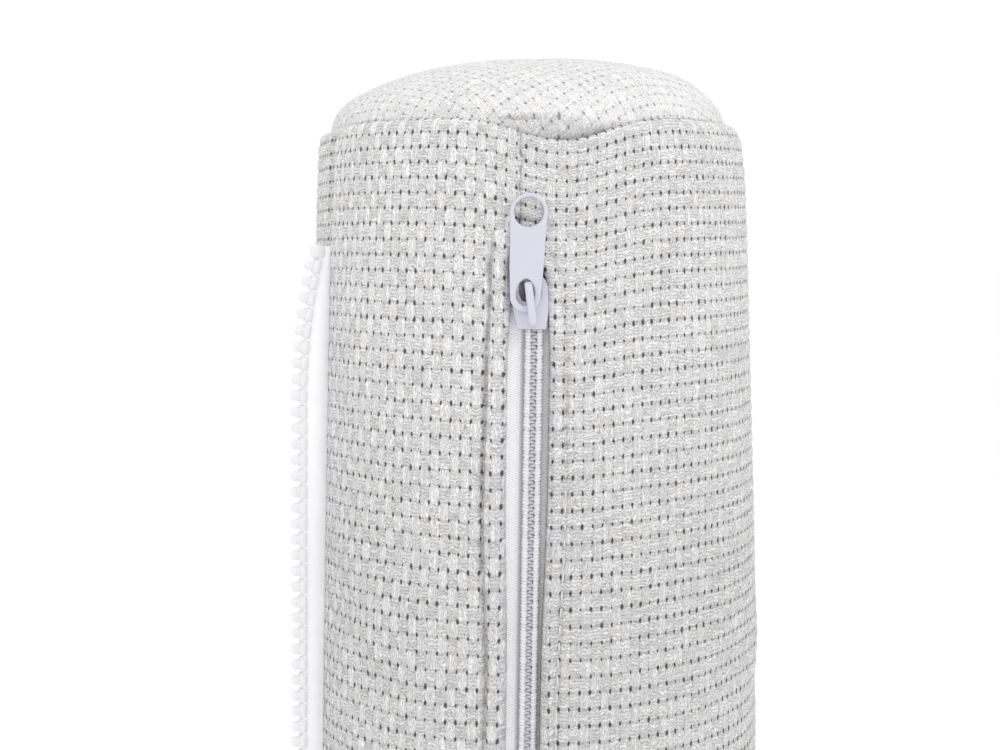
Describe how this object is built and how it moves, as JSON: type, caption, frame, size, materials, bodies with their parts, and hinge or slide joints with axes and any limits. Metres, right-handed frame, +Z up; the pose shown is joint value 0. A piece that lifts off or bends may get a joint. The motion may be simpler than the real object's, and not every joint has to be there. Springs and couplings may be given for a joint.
{
  "type": "bolster pillow",
  "caption": "Round bolster pillow in basket-weave cloth with a zipped cover and half of a tooth zip sewn into its side seam.",
  "frame": {"origin": "middle of the flat base, on the bolster's axis", "axes": "+Z up along the bolster, away from the end it stands on; the coil zip faces -Y; the half zip stands out to the left, towards -X and a little towards -Y"},
  "size_m": [0.0922, 0.0899, 0.3603],
  "materials": {
    "cover_cloth": "matte basket weave",
    "liner_cloth": "matte",
    "foam": "matte",
    "wadding": "matte",
    "zip_tape": "matte twill",
    "nylon": "satin",
    "moulded_plastic": "satin",
    "slider_enamel": "gloss",
    "thread": "matte"
  },
  "bodies": {
    "cover": {"foam_core": "foam", "wadding_wrap": "wadding", "liner_sleeve": "liner_cloth", "liner_end_top": "liner_cloth", "liner_end_bottom": "liner_cloth", "cover_panel_narrow": "cover_cloth", "cover_panel_wide": "cover_cloth", "end_cap_top": "cover_cloth", "end_cap_bottom": "cover_cloth", "coil_tape_left": "zip_tape", "coil_tape_right": "zip_tape", "coil_left": "nylon", "coil_right": "nylon", "coil_top_stop_left": "nylon", "coil_top_stop_right": "nylon", "coil_bottom_stop": "nylon", "topstitch_left": "thread", "topstitch_right": "thread"},
    "slider": {"slider_body": "slider_enamel"},
    "pull": {"pull_tab": "slider_enamel"},
    "side_zip": {"side_zip_tape": "zip_tape", "side_zip_teeth": "moulded_plastic", "side_zip_top_stop": "moulded_plastic", "side_zip_pin": "moulded_plastic"}
  },
  "joints": [
    {"name": "slider_slide", "type": "slide", "parent": "cover", "child": "slider", "axis": [0, 0, -1], "range_m": [0, 0.2757]},
    {"name": "pull_hinge", "type": "hinge", "parent": "slider", "child": "pull", "pos_m": [0, -0.04279, 0.31365], "axis": [1, 0, 0], "range_deg": [0, 175]},
    {"name": "side_zip_flap", "type": "hinge", "parent": "cover", "child": "side_zip", "pos_m": [-0.04015, -0.01872, 0.177], "axis": [0, 0, 1], "range_deg": [-60, 60]}
  ]
}
